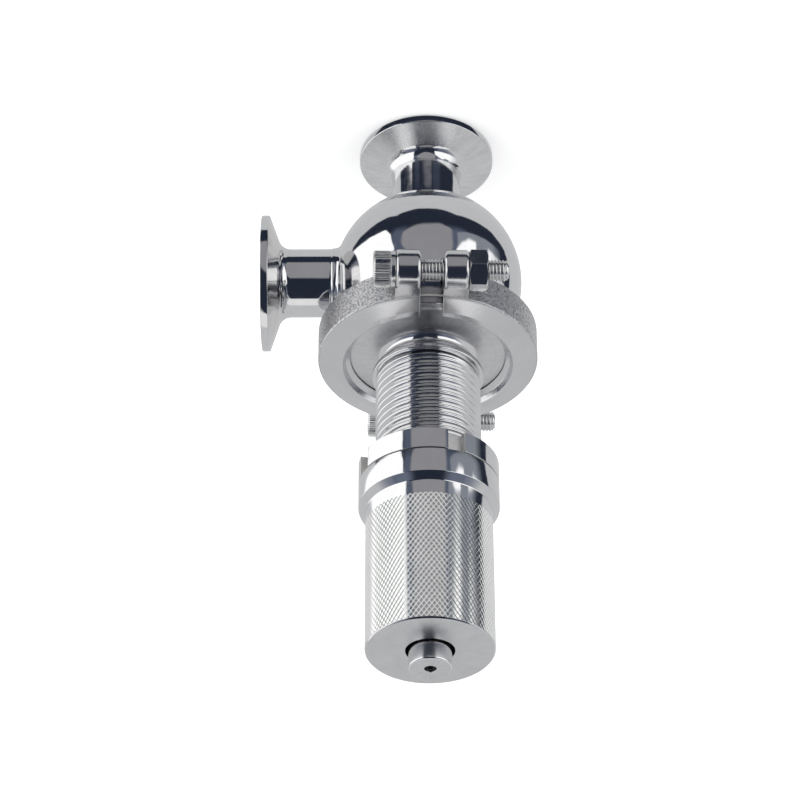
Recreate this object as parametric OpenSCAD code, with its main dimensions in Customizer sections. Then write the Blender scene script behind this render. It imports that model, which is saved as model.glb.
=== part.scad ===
// Adjustable sanitary relief valve of the angle type, in millimetres.
// A ball-shaped body has a clamp end below (inlet) and one at the side (outlet). A two-bolt
// clamp holds the bonnet on top. The bonnet houses the spring and carries an outside thread
// with a slotted lock ring and a knurled adjusting cap. The stem's button shows in the cap.
// Origin: centre of the inlet end's face. +Z runs up the stem, +X runs out of the outlet.

/* [Clamp ends] */
// Outside diameter of the inlet and outlet tubes
tube_od = 25.4; // [24.4:0.1:26.4]
// Wall thickness of the tubes
tube_wall = 1.65; // [1.4:0.05:1.9]
// Outside diameter of the two small clamp ends
end_od = 50.5; // [49:0.1:52]
// Thickness of a clamp end at its rim
end_rim = 2.85; // [2.5:0.05:3.2]
// Slope of the back of every clamp end, in degrees
back_slope = 20; // [18:1:22]
// Distance from a small end's rim in to the centre of its gasket groove
end_groove_in = 3.5; // [3:0.1:4.2]
// Radius of the gasket groove's round section
groove_r = 1.6; // [1.4:0.05:1.8]

/* [Body] */
// Outside diameter of the ball
ball_d = 70; // [67:0.5:73]
// Wall thickness of the ball
ball_wall = 2; // [1.6:0.1:2.4]
// Height of the ball's centre and of the outlet over the inlet face
ball_z = 60; // [58:0.5:63]
// Distance from the stem's axis to the outlet face
outlet_reach = 61.1; // [58:0.1:65]
// Radius of the fillet where the outlet leaves the ball
neck_fillet = 3; // [2:0.1:4]

/* [Bonnet joint] */
// Outside diameter of the two large clamp ends
flange_od = 64; // [63:0.1:65]
// Diameter of the weld between the large clamp end and the ball
weld_d = 51; // [50.4:0.1:52]
// Wall thickness of the large clamp end at its weld
weld_wall = 1.6; // [1.4:0.1:2]
// Gasket thickness between the faces
gasket_t = 0.8; // [0.6:0.1:1.2]
// Distance from the large ends' rims in to the centre of the gasket bead
bead_in = 3.75; // [3.2:0.05:4.4]

/* [Clamp] */
// Outside diameter of the clamp ring
clamp_od = 80; // [78:0.5:84]
// Width of the clamp ring's outside band
clamp_band = 12.5; // [11.5:0.1:13.5]
// Width of the clamp ring at its lips
clamp_lip_w = 16.9; // [16:0.1:18]
// Mouth diameter of the lips
clamp_mouth = 62; // [61:0.1:63]
// Distance from the clamp ring's outside to a clamp screw's axis
lug_step = 6.8; // [6.2:0.1:9]
// Diameter of the lug barrels round the clamp screws
lug_d = 14.2; // [13:0.1:15.5]
// Rounding of the lug barrels' ends
lug_round = 1.3; // [0.6:0.1:1.8]
// Gap between the two clamp halves
clamp_gap = 8.2; // [6:0.1:10]
// Thickness of one lug along the screw
lug_w = 8.9; // [8:0.1:10]
// Turn of the clamp about the valve's axis, in degrees
clamp_turn = -1.8; // [-10:0.1:10]

/* [Clamp screws] */
// Nominal diameter of the screw
screw_d = 8; // [7.5:0.1:8.4]
// Length of the screw under its head
screw_l = 40; // [37:1:45]
// Diameter of the screw head
head_d = 13; // [12.5:0.1:14]
// Height of the screw head
head_h = 8; // [7:0.1:9]
// Width of the nut across its flats
nut_af = 13; // [12.5:0.1:14]
// Height of the nut
nut_h = 6.5; // [6:0.1:7.5]

/* [Bonnet] */
// Radius of the bonnet's neck
neck_r = 15; // [14:0.1:16]
// Length of the neck between the flange and the collar
neck_l = 7.75; // [6:0.25:9]
// Thickness of the bonnet's flange
flange_t = 3.95; // [3.6:0.05:4.3]
// How far the collar under the thread stands out over the thread
collar_step = 1.25; // [1:0.05:2]
// Height of the collar
collar_h = 2.2; // [1.6:0.1:3]
// Outside diameter of the bonnet's thread
thread_d = 38; // [37:0.1:39]
// Pitch of the bonnet's thread
thread_pitch = 3; // [2:0.5:4]
// Gap between the bonnet's end and the end wall of the cap
bonnet_room = 10; // [9:0.5:13]
// Diameter of the spring chamber
chamber_d = 29; // [28.4:0.1:30]

/* [Cap and lock ring] */
// Height of the lock ring's lower face over the clamp joint
ring_z = 52.4; // [45:0.1:60]
// Height of the lock ring
ring_h = 8.2; // [7:0.1:10]
// Radial thickness of the lock ring and of the cap's collar round the thread
ring_wall = 6; // [5:0.1:8]
// Width of a spanner slot in the lock ring
slot_w = 6.3; // [5:0.1:8]
// Depth of a spanner slot
slot_depth = 3; // [2:0.1:3.6]
// Height of the cap
cap_h = 67.8; // [66:0.1:72]
// Radial thickness of the cap's knurled grip round the thread
grip_wall = 3.5; // [3:0.1:4.2]
// Height of the cap's smooth collar
cap_collar = 9.8; // [8:0.1:12]
// Diameter of the hole in the cap's end
cap_hole = 17; // [16:0.1:18]
// Radial gap between the thread and the ring and cap that turn on it
thread_clear = 0.05; // [0.03:0.01:0.09]

/* [Stem and spring] */
// Lift of the disc when the valve is fully open
lift = 6; // [5:0.5:7]
// Diameter of the stem where it is guided
stem_d = 12; // [11.5:0.1:12.5]
// Diameter of the stem inside the spring
stem_top_d = 10; // [9:0.1:10.6]
// Radial gap between the stem and its guide
stem_clear = 0.05; // [0.03:0.01:0.09]
// Diameter of the button
button_d = 15; // [14:0.1:15.4]
// Height of the button over the cap's end
button_out = 7; // [5:0.1:9]
// Wire diameter of the spring
wire_d = 3.5; // [3:0.1:4]
// Outside diameter of the spring
spring_d = 25.6; // [25:0.1:26.4]
// Number of turns of the spring
spring_turns = 12; // [9:0.5:14]
// Height of the seat's lip over the inlet face
seat_z = 42; // [40:0.5:44]

/* [Hidden] */
$fn = 96;
eps = 0.01;          // overshoot of a cut
touch = 0.02;        // gap between faces that rest on each other and come apart
fit_gap = 0.05;      // gap between a clamped cone and the clamp
facets = 5;          // strips in a small turned fillet

tube_r = tube_od/2;
bore_r = tube_r - tube_wall;
end_r = end_od/2;
slope = tan(back_slope);
edge = 0.3;          // broken edge of the turned parts

ball_r = ball_d/2;
flange_r = flange_od/2;
weld_r = weld_d/2;
flange_bore_r = weld_r - weld_wall;
weld_z = ball_z + sqrt(ball_r*ball_r - weld_r*weld_r);
lower_rim_z = weld_z + (flange_r - weld_r)*slope;
lower_face_z = lower_rim_z + end_rim;
joint_z = lower_face_z + gasket_t/2;
upper_face_z = joint_z + gasket_t/2;
bead_r = flange_r - bead_in;
tube_in = 2;         // how far a tube stands inside the ball

skirt_h = 2;
seat_room = 1.8;     // seat's skirt over the inside of the ball
seat_r = tube_r + 1.4;
seat_low = ball_z - sqrt(pow(ball_r - ball_wall, 2) - pow(seat_r, 2)) + seat_room;
seat_base = seat_low + skirt_h;
lip_in = bore_r + 0.6;
lip_out = lip_in + 1.5;

disc_r = seat_r + 1;
disc_t = 6;
disc_z = seat_z + touch;
hub_r = 9;
hub_h = 6;
tip_r = stem_d/2 - 2;
tip_in = 8;
seal_in = lip_in - 0.6;
seal_out = lip_out + 0.6;
seal_h = 3;

boss_r = 12;
boss_h = 12;
boss_z = upper_face_z - boss_h;
back_z = upper_face_z + flange_t;
neck_round = 1.7;
collar_z = back_z + neck_l;
thread_r = thread_d/2;
thread_deep = 0.54*thread_pitch;
thread_crest = thread_pitch/8;
thread_root = thread_pitch/4;
collar_r = thread_r + collar_step;
thread_end = 0.4*thread_pitch;   // chamfer at the thread's end
chamber_r = chamber_d/2;
chamber_z = collar_z + collar_h;
guide_r = stem_d/2 + stem_clear;
bush_r = stem_d/2 + 3;
bush_z = boss_z + 6;
oring_r = 1;
oring_z = boss_z + 3;
oring_room = 0.2;

ring_base = joint_z + ring_z;
ring_top = ring_base + ring_h;
ring_r = thread_r + ring_wall;
ring_edge = 0.8;
screw_r = thread_r + thread_clear;
slot_turn = -23;     // one slot's direction, in degrees from +X

cap_z = ring_top + touch;
cap_top = ring_top + cap_h;
cap_end_t = 12;
cap_roof = cap_top - cap_end_t;
top_z = cap_roof - bonnet_room;
grip_r = thread_r + grip_wall;
grip_edge = 0.5;
cap_hole_r = cap_hole/2;

shoulder_rise = 3.6; // how far the spring's lower plate stands over the chamber's floor
shoulder_z = chamber_z + shoulder_rise;
plate_t = 4;
stem_top_r = stem_top_d/2;
stop_r = stem_d/2 + 2.5;
stop_t = 3;
stop_z = boss_z - lift - 0.2;  // top of the collar that stops the lift
lower_plate_z = shoulder_z + plate_t;
upper_plate_z = cap_roof - touch - plate_t;
plate_r = chamber_r - 0.5;
spigot_h = 4;
spring_r = (spring_d - wire_d)/2;
wire_r = wire_d/2;
spigot_r = spring_r - wire_r - 0.4;
spring_foot = lower_plate_z + touch;
spring_head = upper_plate_z - touch;
dead_turns = 1;      // closed turns at each end of the spring
dead_pitch = wire_d + 0.3;

button_r = button_d/2;
button_top = cap_top + button_out;
button_h = 9;
button_z = button_top - button_h;
button_in = 3.4;     // how far the stem's end stands in the button
grub_r = 2.1;
grub_sink = 1.2;
grub_l = 3.6;

band = clamp_band/2;
lip_half = clamp_lip_w/2;
clamp_r = clamp_od/2;
lug_reach = clamp_r + lug_step;
lug_r = lug_d/2;
mouth_r = clamp_mouth/2;
land_r = mouth_r + 2.2;
throat_r = flange_r - 3.8;
root_r = flange_r + 1;
flank = gasket_t/2 + end_rim + fit_gap;
half_gap = clamp_gap/2;
lug_out = half_gap + lug_w;
hole_r = screw_d/2 + 0.4;
shank_r = screw_d/2;
socket_af = 6;
socket_deep = 4;
nut_turn = 11;       // one corner's direction, seen along the screw, in degrees

// Points of a concave quarter round, from the flat (r + round) up to the wall (z + round)
function hollow(r, z, round) =
    [for (i = [0:facets]) let (a = 90*i/facets)
        [r + round - round*sin(a), z + round - round*cos(a)]];

// A clamp end with its tube: face at z = 0, tube towards +Z
module clamp_end(length) {
    cone = (end_r - tube_r)*slope;
    rotate_extrude()
        difference() {
            polygon([[bore_r, 0], [end_r - edge, 0], [end_r, edge], [end_r, end_rim],
                     [tube_r, end_rim + cone], [tube_r, length], [bore_r, length]]);
            translate([end_r - end_groove_in, 0]) circle(r = groove_r);
        }
}

module inlet_ferrule() {
    color("silver") clamp_end(seat_base);
}

module outlet_ferrule() {
    inner = sqrt(pow(ball_r - ball_wall, 2) - tube_r*tube_r) - tube_in;
    color("silver")
        translate([outlet_reach, 0, ball_z])
            rotate([0, -90, 0]) clamp_end(outlet_reach - inner);
}

// Drawn neck between the ball and the outlet tube, built about the outlet's axis. It starts
// inside the ball's wall and ends where the tube is welded on.
module outlet_neck() {
    far = ball_r + neck_fillet - 0.05;
    round_r = tube_r + edge + neck_fillet;
    round_x = sqrt(far*far - round_r*round_r);
    sweep = acos(round_r/far);
    mid = ball_r - ball_wall/2;
    side = round_r - neck_fillet*cos(sweep);
    rotate([0, 90, 0])
        rotate_extrude()
            polygon(concat(
                [[tube_r - 1, sqrt(mid*mid - pow(tube_r - 1, 2))],
                 [side, sqrt(mid*mid - side*side)]],
                [for (i = [0:facets]) let (a = sweep*(1 - i/facets))
                    [round_r - neck_fillet*cos(a), round_x - neck_fillet*sin(a)]],
                [[tube_r - 1, round_x + edge]]));
}

// The ball's wall as one revolved section, open below for the inlet and above for the flange
module ball_wall_section() {
    difference() {
        intersection() {
            difference() {
                circle(r = ball_r);
                circle(r = ball_r - ball_wall);
            }
            translate([tube_r, -ball_r]) square([ball_r, ball_r + weld_z - ball_z]);
        }
        square([flange_bore_r, ball_r]);
    }
}

module body_ball() {
    seam = 130;      // keeps the revolved wall's seam away from the outlet
    color("gainsboro")
        translate([0, 0, ball_z])
            difference() {
                union() {
                    rotate([0, 0, seam]) rotate_extrude() ball_wall_section();
                    outlet_neck();
                }
                rotate([0, 90, 0]) cylinder(r = tube_r, h = ball_d);
            }
}

module body_flange() {
    color("silver")
        rotate_extrude()
            difference() {
                polygon([[flange_bore_r, weld_z], [weld_r, weld_z], [flange_r, lower_rim_z],
                         [flange_r, lower_face_z], [flange_bore_r, lower_face_z]]);
                translate([bead_r, lower_face_z]) circle(r = groove_r);
            }
}

module valve_seat() {
    color("lightsteelblue")
        rotate_extrude()
            polygon([[bore_r, seat_base], [tube_r, seat_base], [tube_r, seat_low],
                     [seat_r, seat_low], [seat_r, seat_z - 3], [lip_out, seat_z],
                     [lip_in, seat_z], [bore_r, seat_z - 1]]);
}

module disc() {
    top = disc_z + disc_t;
    color("lightsteelblue")
        rotate_extrude()
            polygon([[0, disc_z], [seal_in, disc_z], [seal_in, disc_z + seal_h],
                     [seal_out, disc_z + seal_h], [seal_out, disc_z], [disc_r, disc_z],
                     [disc_r, top - 1], [disc_r - 1, top], [hub_r, top],
                     [hub_r, top + hub_h], [tip_r, top + hub_h],
                     [tip_r, top + hub_h - tip_in], [0, top + hub_h - tip_in]]);
}

module disc_seal() {
    color("dimgray")
        rotate_extrude()
            polygon([[seal_in, disc_z], [seal_out, disc_z], [seal_out, disc_z + seal_h],
                     [seal_in, disc_z + seal_h]]);
}

module stem() {
    foot = disc_z + disc_t + hub_h;
    head = button_z + button_in;
    color("lightsteelblue")
        rotate_extrude()
            polygon([[0, foot - tip_in], [tip_r, foot - tip_in], [tip_r, foot],
                     [stem_d/2, foot], [stem_d/2, stop_z - stop_t], [stop_r, stop_z - stop_t],
                     [stop_r, stop_z], [stem_d/2, stop_z], [stem_d/2, shoulder_z],
                     [stem_top_r, shoulder_z],
                     [stem_top_r, head], [0, head]]);
}

module stem_seal() {
    color("black")
        rotate_extrude()
            translate([guide_r + oring_r, oring_z]) circle(r = oring_r, $fn = 32);
}

module guide_bush() {
    color("white")
        rotate_extrude()
            polygon([[guide_r, bush_z], [bush_r, bush_z], [bush_r, chamber_z],
                     [guide_r, chamber_z]]);
}

module lower_spring_plate() {
    color("silver")
        rotate_extrude()
            polygon([[stem_top_r, shoulder_z], [plate_r, shoulder_z],
                     [plate_r, lower_plate_z], [spigot_r, lower_plate_z],
                     [spigot_r, lower_plate_z + spigot_h],
                     [stem_top_r, lower_plate_z + spigot_h]]);
}

module upper_spring_plate() {
    hole = stem_top_r + 0.5;
    color("silver")
        rotate_extrude()
            polygon([[hole, upper_plate_z - spigot_h], [spigot_r, upper_plate_z - spigot_h],
                     [spigot_r, upper_plate_z], [plate_r, upper_plate_z],
                     [plate_r, upper_plate_z + plate_t], [hole, upper_plate_z + plate_t]]);
}

// Helical wire with a closed turn at each end, as rings of points round its centre line
module spring() {
    sides = 8;
    steps = 20;
    free_turns = spring_turns - 2*dead_turns;
    low = spring_foot + wire_r;
    high = spring_head - wire_r;
    dead = dead_turns*dead_pitch;
    live_pitch = (high - low - 2*dead)/free_turns;
    count = round(spring_turns*steps);
    function rise(t) =
        t < dead_turns ? low + t*dead_pitch :
        t > spring_turns - dead_turns ? high - (spring_turns - t)*dead_pitch :
        low + dead + (t - dead_turns)*live_pitch;
    points = [for (i = [0:count], j = [0:sides - 1])
        let (t = i/steps, a = 360*t, b = 360*j/sides)
            [(spring_r + wire_r*cos(b))*cos(a), (spring_r + wire_r*cos(b))*sin(a),
             rise(t) + wire_r*sin(b)]];
    walls = [for (i = [0:count - 1], j = [0:sides - 1])
        let (k = (j + 1)%sides)
            each [[i*sides + j, i*sides + k, (i + 1)*sides + k],
                  [i*sides + j, (i + 1)*sides + k, (i + 1)*sides + j]]];
    near = [for (j = [sides - 1:-1:0]) j];
    far = [for (j = [0:sides - 1]) count*sides + j];
    color("slategray") polyhedron(points = points, faces = concat(walls, [near, far]));
}

// Side of the bonnet's thread: one turned groove of the thread's section for each turn
function thread_side() =
    let (turns = floor((top_z - thread_end - chamber_z)/thread_pitch))
        [for (i = [0:turns - 1])
            let (low = chamber_z + i*thread_pitch, mid = low + thread_pitch/2)
                each [[thread_r, low + thread_crest/2],
                      [thread_r - thread_deep, mid - thread_root/2],
                      [thread_r - thread_deep, mid + thread_root/2],
                      [thread_r, low + thread_pitch - thread_crest/2]]];

module bonnet() {
    cone_r = flange_r - (flange_t - end_rim)/slope;
    color("silver")
        rotate_extrude()
            difference() {
                polygon(concat(
                    [[guide_r, boss_z], [boss_r, boss_z], [boss_r, upper_face_z],
                     [flange_r, upper_face_z], [flange_r, upper_face_z + end_rim],
                     [cone_r, back_z]],
                    hollow(neck_r, back_z, neck_round),
                    [[neck_r, collar_z], [collar_r - edge, collar_z],
                     [collar_r, collar_z + edge], [collar_r, chamber_z - edge],
                     [collar_r - edge, chamber_z]],
                    thread_side(),
                    [[thread_r, top_z - thread_end], [thread_r - thread_end, top_z],
                     [chamber_r, top_z],
                     [chamber_r, chamber_z], [bush_r, chamber_z], [bush_r, bush_z],
                     [guide_r, bush_z], [guide_r, oring_z + oring_r + oring_room],
                     [guide_r + 2*oring_r, oring_z + oring_r + oring_room],
                     [guide_r + 2*oring_r, oring_z - oring_r - oring_room],
                     [guide_r, oring_z - oring_r - oring_room]]));
                translate([bead_r, upper_face_z]) circle(r = groove_r);
            }
}

module gasket() {
    color("whitesmoke")
        rotate_extrude()
            union() {
                translate([flange_bore_r, lower_face_z])
                    square([flange_r - flange_bore_r, gasket_t]);
                translate([bead_r, lower_face_z]) circle(r = groove_r - fit_gap);
                translate([bead_r, upper_face_z]) circle(r = groove_r - fit_gap);
            }
}

module lock_ring() {
    color("silver")
        difference() {
            rotate_extrude()
                polygon([[screw_r, ring_base], [ring_r - edge, ring_base],
                         [ring_r, ring_base + edge], [ring_r, ring_top - ring_edge],
                         [ring_r - ring_edge, ring_top], [screw_r, ring_top]]);
            for (i = [0:3])
                rotate([0, 0, slot_turn + 90*i])
                    translate([ring_r - slot_depth, -slot_w/2, ring_base - 1])
                        cube([slot_depth + 1, slot_w, ring_h + 2]);
        }
}

module cap() {
    step = ring_r - grip_r;
    color("silver")
        rotate_extrude()
            polygon([[screw_r, cap_z], [ring_r - ring_edge, cap_z],
                     [ring_r, cap_z + ring_edge], [ring_r, ring_top + cap_collar],
                     [grip_r, ring_top + cap_collar + step*0.88],
                     [grip_r, cap_top - grip_edge], [grip_r - grip_edge, cap_top],
                     [cap_hole_r + edge, cap_top], [cap_hole_r, cap_top - edge],
                     [cap_hole_r, cap_roof], [screw_r, cap_roof]]);
}

module button() {
    rim = 1;
    color("silver")
        rotate_extrude()
            polygon([[stem_top_r, button_z], [button_r, button_z],
                     [button_r, button_top - rim], [button_r - rim*0.3, button_top - rim*0.3],
                     [button_r - rim, button_top], [grub_r + edge, button_top],
                     [grub_r, button_top - edge], [grub_r, button_z + button_in],
                     [stem_top_r, button_z + button_in]]);
}

module button_screw() {
    top = button_top - grub_sink;
    color("dimgray")
        difference() {
            translate([0, 0, top - grub_l]) cylinder(r = grub_r, h = grub_l);
            translate([0, 0, top - 2.5]) cylinder(r = 1.15, h = 3, $fn = 6);
        }
}

// One lug's barrel along X, with both its ends rounded over
module lug_barrel() {
    inner = half_gap - 0.001;
    near = [for (a = [0:15:90])
        [lug_r - lug_round*(1 - sin(a)), inner + lug_round*(1 - cos(a))]];
    far = [for (a = [0:15:90])
        [lug_r - lug_round*(1 - cos(a)), lug_out - lug_round*(1 - sin(a))]];
    rotate([0, 90, 0])
        rotate_extrude() polygon(concat([[0, inner]], near, far, [[0, lug_out]]));
}

// Outside of the whole clamp, before the groove and the gap are cut
module clamp_blank() {
    neck_y = lug_reach - lug_r*sin(18);
    neck_z = lug_r*cos(18);
    translate([0, 0, joint_z]) {
        rotate_extrude()
            polygon([[0, -lip_half], [land_r, -lip_half], [clamp_r - edge, -band - edge/3],
                     [clamp_r, -band + edge], [clamp_r, band - edge],
                     [clamp_r - edge, band + edge/3], [land_r, lip_half], [0, lip_half]]);
        for (side = [0, 1])
            mirror([0, side, 0]) {
                translate([-lug_out, 0, 0])
                    rotate([90, 0, 90])
                        linear_extrude(height = 2*lug_out)
                            polygon([[0, -band], [clamp_r - edge, -band], [neck_y, -neck_z],
                                     [neck_y, neck_z], [clamp_r - edge, band], [0, band]]);
                for (end = [0, 1])
                    translate([0, lug_reach, 0]) mirror([end, 0, 0]) lug_barrel();
            }
    }
}

// The space the clamp leaves for the two flanges and the neck
module clamp_room() {
    throat = flank + (flange_r - throat_r)*slope;
    root = flank - (root_r - flange_r)*slope;
    translate([0, 0, joint_z])
        rotate_extrude()
            polygon([[0, -lip_half - 1], [mouth_r + 0.45, -lip_half - 1],
                     [mouth_r - 1, -band], [throat_r, -throat], [root_r, -root],
                     [root_r, root], [throat_r, throat], [mouth_r - 1, band],
                     [mouth_r + 0.45, lip_half + 1], [0, lip_half + 1]]);
}

module clamp_half() {
    difference() {
        clamp_blank();
        clamp_room();
        translate([half_gap - 2*clamp_r, -2*clamp_r, 0])
            cube([2*clamp_r, 4*clamp_r, 2*joint_z]);
        for (side = [-1, 1])
            translate([0, side*lug_reach, joint_z])
                rotate([0, 90, 0]) cylinder(r = hole_r, h = clamp_r);
    }
}

module clamp_half_outlet() {
    color("darkgray") rotate([0, 0, clamp_turn]) clamp_half();
}

module clamp_half_far() {
    color("darkgray") rotate([0, 0, clamp_turn + 180]) clamp_half();
}

// One socket head screw, lying along X with its head at the outlet side
module clamp_screw() {
    difference() {
        union() {
            translate([lug_out, 0, 0]) rotate([0, 90, 0])
                rotate_extrude()
                    polygon([[0, 0], [head_d/2, 0], [head_d/2, head_h - 0.6],
                             [head_d/2 - 0.6, head_h], [0, head_h]]);
            translate([lug_out - screw_l, 0, 0]) rotate([0, 90, 0])
                rotate_extrude()
                    polygon([[0, 0], [shank_r - 0.8, 0], [shank_r, 0.8],
                             [shank_r, screw_l + eps], [0, screw_l + eps]]);
        }
        translate([lug_out + head_h - socket_deep, 0, 0]) rotate([0, 90, 0])
            cylinder(d = socket_af/cos(30), h = socket_deep + 1, $fn = 6);
    }
}

module clamp_screws() {
    color("silver")
        rotate([0, 0, clamp_turn])
            for (side = [-1, 1])
                translate([0, side*lug_reach, joint_z]) clamp_screw();
}

// One hexagon nut on the far side's lug, with its corners turned down
module clamp_nut() {
    corner = nut_af/2/cos(30);
    slim = nut_af/2;
    fall = (corner - slim)*0.58;
    translate([-lug_out - nut_h, 0, 0])
        rotate([0, 90, 0])
            difference() {
                intersection() {
                    rotate([0, 0, nut_turn]) cylinder(r = corner, h = nut_h, $fn = 6);
                    rotate_extrude()
                        polygon([[0, 0], [slim, 0], [corner + 0.2, fall + 0.1],
                                 [corner + 0.2, nut_h - fall - 0.1], [slim, nut_h],
                                 [0, nut_h]]);
                }
                translate([0, 0, -1]) cylinder(r = shank_r, h = nut_h + 2);
            }
}

module clamp_nuts() {
    color("silver")
        rotate([0, 0, clamp_turn])
            for (side = [-1, 1])
                translate([0, side*lug_reach, joint_z]) clamp_nut();
}

inlet_ferrule();
outlet_ferrule();
body_ball();
body_flange();
valve_seat();
disc();
disc_seal();
stem();
stem_seal();
guide_bush();
lower_spring_plate();
spring();
upper_spring_plate();
bonnet();
gasket();
lock_ring();
cap();
button();
button_screw();
clamp_half_outlet();
clamp_half_far();
clamp_screws();
clamp_nuts();
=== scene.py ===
# Angle relief valve: looks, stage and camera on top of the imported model. Metres, the model's frame.
import bpy
import bmesh
import math
from mathutils import Matrix, Vector


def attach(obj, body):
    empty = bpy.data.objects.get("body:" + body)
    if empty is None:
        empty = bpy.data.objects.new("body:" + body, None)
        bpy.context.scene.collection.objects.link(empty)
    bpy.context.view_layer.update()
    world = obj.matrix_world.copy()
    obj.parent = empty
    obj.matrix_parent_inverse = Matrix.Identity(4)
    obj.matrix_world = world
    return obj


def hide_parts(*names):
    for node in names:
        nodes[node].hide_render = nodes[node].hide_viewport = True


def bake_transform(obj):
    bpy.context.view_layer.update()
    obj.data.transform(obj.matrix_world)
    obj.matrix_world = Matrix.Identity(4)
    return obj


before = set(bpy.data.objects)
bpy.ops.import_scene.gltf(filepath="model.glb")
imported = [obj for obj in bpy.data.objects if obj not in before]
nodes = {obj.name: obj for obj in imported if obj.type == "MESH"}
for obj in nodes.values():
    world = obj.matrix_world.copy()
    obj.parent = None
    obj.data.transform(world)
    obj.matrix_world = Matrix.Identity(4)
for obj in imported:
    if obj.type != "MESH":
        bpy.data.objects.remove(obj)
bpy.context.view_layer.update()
MM = 0.001
TAU = 2*math.pi

# Sizes in millimetres, as in part.scad. Names in _R are radii, and heights run up from the inlet's face.
# Tubes and small clamp ends
TUBE_R = 12.7
BORE_R = 11.05
END_R = 25.25
RIM = 2.85  # thickness of every clamp end at its rim
SLOPE = math.tan(math.radians(20))  # rise of the cones behind the rims
CONE_TOP = RIM + (END_R - TUBE_R)*SLOPE
END_GROOVE_R = END_R - 3.5
GROOVE_R = 1.6  # section of the gasket grooves
EDGE = 0.3  # broken edge of the turned parts

# Ball and seat
BALL_R = 35.0
BALL_INSIDE_R = BALL_R - 2
BALL_Z = 60.0
NECK_FILLET = 3.0  # where the outlet leaves the ball
REACH = 61.1  # from the stem's axis to the outlet's face
TUBE_IN = 2.0  # how far the outlet's tube stands inside the ball
SEAT_R = TUBE_R + 1.4
SEAT_BASE = BALL_Z - math.sqrt(BALL_INSIDE_R**2 - SEAT_R**2) + 3.8  # top of the inlet's tube

# Large clamp joint
FLANGE_R = 32.0
FLANGE_T = 3.95  # thickness of the bonnet's flange
WELD_R = 25.5
BEAD_R = FLANGE_R - 3.75  # middle of the gasket's bead
GASKET_T = 0.8
WELD_Z = BALL_Z + math.sqrt(BALL_R**2 - WELD_R**2)
JOINT = WELD_Z + (FLANGE_R - WELD_R)*SLOPE + RIM + GASKET_T/2  # middle of the gasket
UPPER_FACE = JOINT + GASKET_T/2
BACK = UPPER_FACE + FLANGE_T  # back of the bonnet's flange
CLAMP_R = 40.0
CLAMP_BAND = 6.25  # half the width of the clamp ring's outside

# Bonnet
GUIDE_R = 6.05
BUSH_R = 9.0
BOSS_R = 12.0
BOSS_Z = UPPER_FACE - 12
BUSH_Z = BOSS_Z + 6
NECK_R = 15.0
COLLAR = BACK + 7.75  # lower face of the collar under the thread
CHAMBER = COLLAR + 2.2  # floor of the spring chamber, and the thread's lower end
CHAMBER_R = 14.5
THREAD_R = 19.0
THREAD_ROOT_R = THREAD_R - 1.6
THREAD_CORE_R = THREAD_R - 1.8  # plain core inside the thread
PITCH = 3.0
COLLAR_R = THREAD_R + 1.25

# Lock ring, cap and button
TOUCH = 0.02  # gap between faces that come apart
SCREW_R = THREAD_R + 0.05  # bore of the ring and the cap
RING_R = THREAD_R + 6
RING_BASE = JOINT + 52.4
RING_TOP = RING_BASE + 8.2
SLOT_HALF = 3.15  # half the width of a spanner slot
SLOT_FLOOR_R = RING_R - 3
SLOT_TURN = -23  # one slot's heading, in degrees
GRIP_R = THREAD_R + 3.5
SHOULDER = RING_TOP + 9.8  # top of the cap's smooth collar
TAPER = SHOULDER + (RING_R - GRIP_R)*0.88  # top of the cone over it
CAP_TOP = RING_TOP + 67.8
CAP_ROOF = CAP_TOP - 12  # inside of the cap's end wall
CAP_HOLE_R = 8.5
BONNET_TOP = CAP_ROOF - 10
BUTTON_R = 7.5
BUTTON_TOP = CAP_TOP + 7
BUTTON_BASE = BUTTON_TOP - 9
BUTTON_IN = 3.4  # how far the stem's end stands in the button
STEM_TOP_R = 5.0
GRUB_R = 2.1

# Clamp screws
CLAMP_TURN = math.radians(-1.8)  # the clamp's turn about the stem
LUG_Y = 46.8  # from the stem's axis to a screw's axis
LUG_OUT = 13.0  # from the gap's middle to a lug's outer face
HEAD_R = 6.5
HEAD_H = 8.0
SOCKET_HALF = 3.0  # half the width across the socket's flats
SOCKET_DEEP = 4.0
SCREW_L = 40.0
SCREW_PITCH = 1.25

# Spring
WIRE_R = 1.75
COIL_R = 12.8 - WIRE_R
TURNS = 12
SPRING_FOOT = 111.51
SPRING_HEAD = 201.95

# Only the looks need these: the knurl's place and diamonds, and how finely a turned form is divided
KNURL_LOW = 167.4
KNURL_HIGH = CAP_TOP - 0.6
KNURL_COUNT = 79
KNURL_TALL = 2.5
KNURL_DEEP = 0.15
ROUND = 256


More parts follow.
